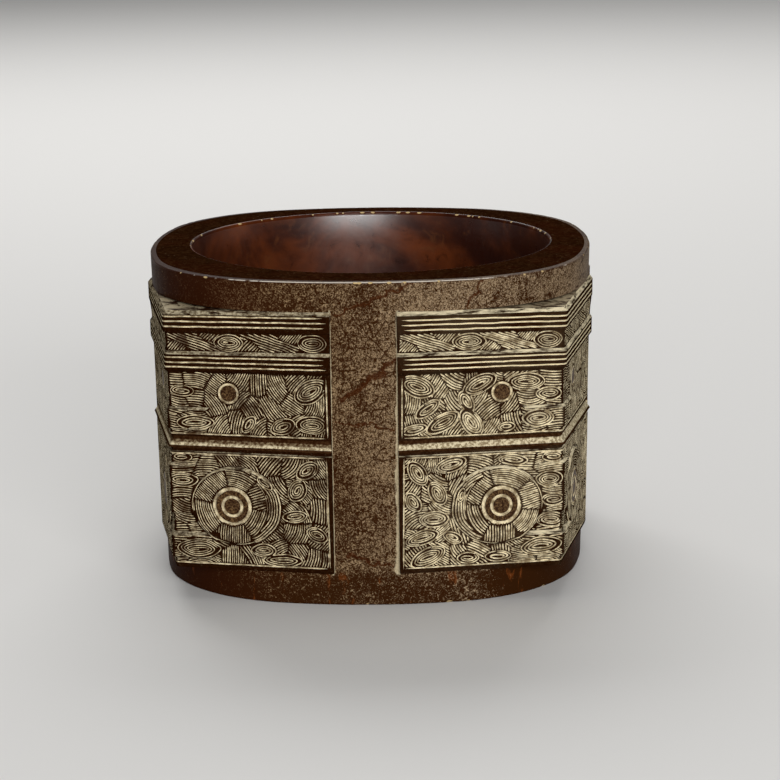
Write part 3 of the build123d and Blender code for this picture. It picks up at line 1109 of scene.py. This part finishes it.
def rim_jade():
    """The flat rims: dark, speckled stone."""
    shader = Shader("rim_jade")
    grain = shader.noise(1.1, 5, 0.7, 1.0)
    clouds = shader.ramp(shader.noise(0.1, 3), 0.4, 0.65)
    colour = shader.mix(shader.times(clouds, 0.6), black_brown, deep_red)
    colour = shader.mix(shader.times(shader.ramp(grain, 0.42, 0.66), 0.5), colour, mid_brown)
    specks = shader.ramp(shader.noise(1.8, 3, 0.6, shift=(0, 25, 0)), 0.64, 0.74)
    colour = shader.mix(shader.times(specks, 0.4), colour, grey_tan)
    return shader.finish(chipped(shader, colour, grain), 0.5, 0.0, grain)


def bore_jade(name, gloss):
    """The bore: clear red-brown jade with a soft polish."""
    shader = Shader(name)
    depth = shader.ramp(shader.noise(0.06, 4, 0.6, 0.5), 0.35, 0.7)
    colour = shader.mix(depth, deep_red, warm_red)
    mottle = shader.noise(0.35, 5, 0.65, 0.6, shift=(0, 0, 15))
    colour = shader.mix(shader.times(shader.ramp(mottle, 0.55, 0.72), 0.5), colour, orange_red)
    colour = shader.mix(shader.times(shader.ramp(mottle, 0.45, 0.3), 0.6), colour, deep_red)
    return shader.finish(chipped(shader, colour, mottle), shader.add(mottle, 0.16, 0.22), gloss)


def ridge_stone():
    """The stone between the cut lines: dark brown, with a thin film of residue, more of it on the right, and
    pale dust on the upward-facing slopes that is also a painted highlight there.
    """
    shader = Shader("carved_jade")
    right = shader.ramp(shader.axis("X"), -8, 15)
    grain = shader.noise(2.2, 4, 0.6)
    colour = shader.mix(shader.ramp(grain, 0.4, 0.65), black_brown, dark_brown)
    clouds = shader.ramp(shader.noise(0.12, 4, 0.6, 0.4), 0.35, 0.68)
    specks = shader.ramp(shader.noise(2.6, 4, 0.7, shift=(0, 0, 33)), 0.58, 0.72)
    film = shader.add(specks, 0.15, shader.times(clouds, right, 0.08))
    colour = shader.mix(film, colour, dull_buff)
    earth = shader.mix(shader.ramp(grain, 0.4, 0.6), dull_buff, buff)
    # Pale earth on the upward-facing slopes: settled dust, and also a painted highlight on those slopes
    streaks = shader.noise(1.1, 5, 0.7, 0.2, shift=(0, 0, 60), stretch=(0.3, 0.3, 2.0))
    settled_dust_and_sheen = shader.times(shader.ramp(shader.rise(), 0.4, 0.55), shader.ramp(streaks, 0.36, 0.58))
    dust_and_sheen = shader.times(settled_dust_and_sheen, shader.add(right, 0.32, 0.55))
    colour = shader.mix(dust_and_sheen, colour, shader.mix(right, earth, buff))
    return shader.finish(divider(shader, colour, grain, right, earth), 0.5, 0.0, grain)


def divider(shader, colour, grain, right, earth):
    """A colour with the divider between the registers: brown, with a pale strip and ragged earth; the brown
    along the foot of the strip's slope is painted shade.
    """
    level = shader.axis("Z")
    # Brown over the whole divider. Below strip_foot + 0.26 it also covers the foot of the strip's upward
    # slope: painted shade, a dark line under the pale strip.
    whole = shader.window(
        level, strip_foot - 0.3, strip_foot - 0.2, upper_register_foot - 0.1, upper_register_foot
    )
    colour = shader.mix(whole, colour, shader.mix(shader.ramp(grain, 0.35, 0.7), dark_brown, mid_brown))
    strip = shader.window(level, strip_foot + 0.26, strip_foot + 0.38, strip_top, strip_top + 0.15)
    colour = shader.mix(strip, colour, shader.mix(shader.ramp(grain, 0.4, 0.7), mid_brown, dull_buff))
    ragged = shader.add(shader.noise(1.2, 5, 0.7, shift=(0, 12, 0)), 0.5, level)
    ragged = shader.add(right, -0.45, ragged)
    line = shader.times(strip, shader.ramp(ragged, strip_foot + 1.1, strip_foot + 0.8), 0.85)
    return shader.mix(line, colour, earth)


def eye_stone():
    """The discs inside the drilled rings: brown, speckled stone."""
    shader = Shader("eye_jade")
    grain = shader.noise(3.0, 4, 0.7, 0.3)
    colour = shader.mix(shader.ramp(grain, 0.42, 0.72), dark_brown, pale_tan)
    return shader.finish(colour, 0.45, 0.05, grain)


def residue(name, wear):
    """Pale buff earth in the cut lines, worn thin in places."""
    shader = Shader(name)
    grain = shader.ramp(shader.noise(1.0, 5, 0.65), 0.36, 0.62)
    left = shader.ramp(shader.axis("X"), 15, -10)
    dull = tuple(pale + (dark - pale) * wear for pale, dark in zip(buff, dull_buff))
    colour = shader.mix(grain, shader.mix(left, dull, dull_buff), buff)
    worn = shader.ramp(shader.noise(0.32, 5, 0.65, 0.5, shift=(40, 0, 0)), 0.47, 0.65)
    worn = shader.times(worn, shader.add(left, 0.45 * wear, 0.4 * wear))
    worn = shader.math("MAXIMUM", worn, shader.times(left, 0.12 * wear))
    colour = shader.mix(worn, colour, mid_brown)
    return shader.finish(colour, 0.9, 0.0, grain)


def ledge_stone():
    """The ledges and flanks of the prisms: weathered stone darkened as painted shade, with pale crusts near
    the corners.
    """
    shader = Shader("ledge_jade")
    skin, grain = weathered(shader)
    crust = shader.ramp(shader.noise(0.3, 5, 0.65, 0.8, shift=(0, 30, 0)), 0.42, 0.55)
    from_axis = shader.vector("LENGTH", shader.vector("MULTIPLY", shader.place, (1, 1, 0)), output="Value")
    crust = shader.times(crust, shader.ramp(from_axis, 38.5, 41), shader.ramp(shader.rise(), 0.4, 0.7), 0.85)
    # Painted shade: the skin is taken most of the way to dark brown, so the flanks and ledges look shadowed
    colour = shader.mix(0.6, skin, dark_brown)
    colour = shader.mix(crust, colour, shader.mix(grain, dull_buff, buff))
    return shader.finish(colour, 0.45, 0.05, grain, depth=0.03)


def build_object():
    """The tube and the four carved corners, standing for all the CAD nodes."""
    prism_materials = [ridge_stone(), residue("residue", 1.0), ledge_stone(), eye_stone()]
    prism_materials.append(residue("band_residue", 0.3))
    fills = ["upper_band_fill", "lower_band_fill", "upper_frame_fill", "lower_frame_fill"]
    fills += ["small_eye_fill", "large_eye_fill"]
    corners = [  # name, layouts of the two faces, and how much lower the upper band's lines were cut
        ("front_left", left_layout, right_layout, 0),
        ("front_right", left_layout, right_layout, 0.4),
        ("back_right", right_layout, left_layout, 0),
        ("back_left", right_layout, left_layout, 0.4),
    ]
    for turn, (corner, front, side, band_drop) in enumerate(corners):
        faces = [carved_face(front, band_drop, 2 * turn + 1), carved_face(side, band_drop, 2 * turn + 2)]
        prism = corner_prism(f"carved_corner_{corner}", turn, *faces, prism_materials)
        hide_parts(*[f"{fill}_{corner}" for fill in fills])
    bore_materials = [bore_jade("bore_jade", gloss=0.9), bore_jade("mouth_jade", gloss=0.1)]
    body = tube([jade_skin(), edge_jade(), rim_jade(), *bore_materials])
    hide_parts("cong_stone")


def floor():
    """A plain pale floor."""
    reach = 4.0
    corners = [(-reach, -reach, 0), (reach, -reach, 0), (reach, reach, 0), (-reach, reach, 0)]
    mesh = bpy.data.meshes.new("floor")
    mesh.from_pydata(corners, [], [(0, 1, 2, 3)])
    shader = Shader("floor")
    seen = shader.node("LightPath", output="Is Camera Ray")
    mirrored = shader.node("LightPath", output="Is Glossy Ray")
    colour = shader.mix(shader.math("MAXIMUM", seen, mirrored), (0.35, 0.345, 0.34), (0.75, 0.74, 0.72))
    mesh.materials.append(shader.finish(colour, 0.7, 0.1))
    linked("floor", mesh)


def area_light(name, place, target, size, power, spread=180):
    """A large lamp that faces a target."""
    lamp = bpy.data.lights.new(name, "AREA")
    lamp.shape = "RECTANGLE"
    lamp.size, lamp.size_y = size
    lamp.energy = power
    lamp.spread = radians(spread)
    holder = linked(name, lamp)
    holder.location = place
    holder.rotation_euler = (Vector(target) - Vector(place)).to_track_quat("-Z", "Y").to_euler()


def lights():
    """Soft studio light: a white world and three large lamps."""
    world = bpy.data.worlds.new("studio")
    world.use_nodes = True
    background = world.node_tree.nodes["Background"].inputs
    background["Color"].default_value = (1, 1, 1, 1)
    background["Strength"].default_value = 0.16
    bpy.context.scene.world = world
    middle = (0, 0, height * mm / 2)
    area_light("key", (0.2, -0.91, 0.27), middle, (0.7, 0.35), 2.8, 100)
    area_light("top", (0.0, 0.0, 0.95), middle, (0.7, 0.7), 1.2)
    area_light("back", (-0.1, 0.72, 0.7), middle, (0.8, 0.5), 6.0)


def camera():
    """The photograph's view: the camera's distance, direction, roll and framing."""
    distance = 0.5
    elevation = radians(12.85)
    azimuth = radians(2.1)
    roll = radians(-0.85)
    image_size = 780
    pixels_per_mm = 5.76  # at the middle of the object
    middle_at = (372.7, 395.3)  # where the middle of the object shows in the image
    target = Vector((0, 0, height * mm / 2))
    back = Vector((sin(azimuth) * cos(elevation), -cos(azimuth) * cos(elevation), sin(elevation)))
    data = bpy.data.cameras.new("camera")
    data.sensor_width = 36
    data.lens = pixels_per_mm * distance / mm * data.sensor_width / image_size
    data.shift_x = (image_size / 2 - middle_at[0]) / image_size
    data.shift_y = (middle_at[1] - image_size / 2) / image_size
    data.clip_start = 0.01
    holder = linked("camera", data)
    turn = (-back).to_track_quat("-Z", "Y").to_matrix().to_4x4()
    holder.matrix_world = Matrix.Translation(target + distance * back) @ turn @ Matrix.Rotation(roll, 4, "Z")
    bpy.context.scene.camera = holder


build_object()
floor()
lights()
camera()
bpy.context.scene.view_settings.view_transform = "Standard"
